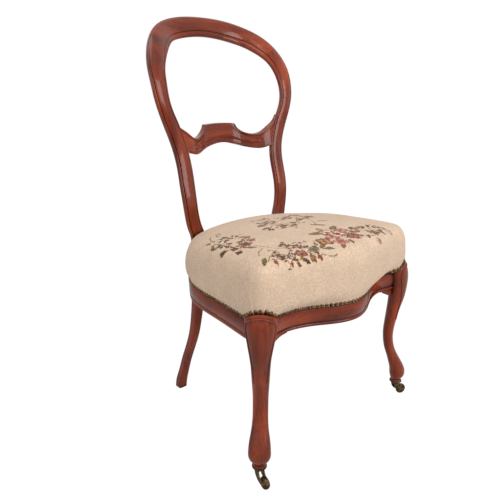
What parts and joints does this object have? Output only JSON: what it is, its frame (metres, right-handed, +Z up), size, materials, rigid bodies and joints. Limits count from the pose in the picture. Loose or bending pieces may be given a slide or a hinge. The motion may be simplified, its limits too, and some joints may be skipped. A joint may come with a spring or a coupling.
{
  "type": "dining chair",
  "caption": "Wooden dining chair with an open hooped back, a dished middle rail, a sprung and domed seat, curved front legs on swivelling casters and splayed back legs.",
  "frame": {"origin": "floor, under the middle of the chair's box", "axes": "+X to the right side seen from the front with the chair's back behind, +Y to the back, +Z up"},
  "size_m": [0.5045, 0.5239, 0.888],
  "materials": {
    "polished_wood": "polished",
    "plain_wood": "sawn",
    "steel": "plain",
    "brass": "aged",
    "webbing": "woven",
    "hessian": "woven",
    "stuffing": "fibre",
    "needlepoint": "stitched",
    "black_cloth": "plain"
  },
  "bodies": {
    "chair": {"left_rear_post": "polished_wood", "right_rear_post": "polished_wood", "crest_rail": "polished_wood", "mid_rail": "polished_wood", "back_seat_rail": "polished_wood", "left_side_rail": "polished_wood", "right_side_rail": "polished_wood", "front_seat_rail": "polished_wood", "left_front_leg": "polished_wood", "right_front_leg": "polished_wood", "left_rear_corner_block": "plain_wood", "right_rear_corner_block": "plain_wood", "left_front_corner_block": "plain_wood", "right_front_corner_block": "plain_wood", "crest_dowels": "plain_wood", "mid_rail_dowels": "plain_wood", "back_rail_dowels": "plain_wood", "side_rail_dowels": "plain_wood", "front_rail_dowels": "plain_wood", "corner_block_screws": "steel", "coil_springs": "steel", "seat_webbing": "webbing", "spring_hessian": "hessian", "seat_stuffing": "stuffing", "seat_cover": "needlepoint", "dust_cover": "black_cloth", "left_caster_socket": "brass", "right_caster_socket": "brass"},
    "left_caster": {"left_caster_horn": "brass", "left_caster_axle": "brass"},
    "left_wheel": {"left_caster_wheel": "brass"},
    "right_caster": {"right_caster_horn": "brass", "right_caster_axle": "brass"},
    "right_wheel": {"right_caster_wheel": "brass"}
  },
  "joints": [
    {"name": "left_caster_swivel", "type": "hinge", "parent": "chair", "child": "left_caster", "pos_m": [-0.227, -0.2152, 0.05], "axis": [0, 0, 1], "continuous": true},
    {"name": "left_wheel_spin", "type": "hinge", "parent": "left_caster", "child": "left_wheel", "pos_m": [-0.22888, -0.2331, 0.0125], "axis": [0.9945, -0.1045, 0], "continuous": true},
    {"name": "right_caster_swivel", "type": "hinge", "parent": "chair", "child": "right_caster", "pos_m": [0.227, -0.2152, 0.05], "axis": [0, 0, 1], "continuous": true},
    {"name": "right_wheel_spin", "type": "hinge", "parent": "right_caster", "child": "right_wheel", "pos_m": [0.24412, -0.22076, 0.0125], "axis": [0.309, 0.9511, 0], "continuous": true}
  ]
}
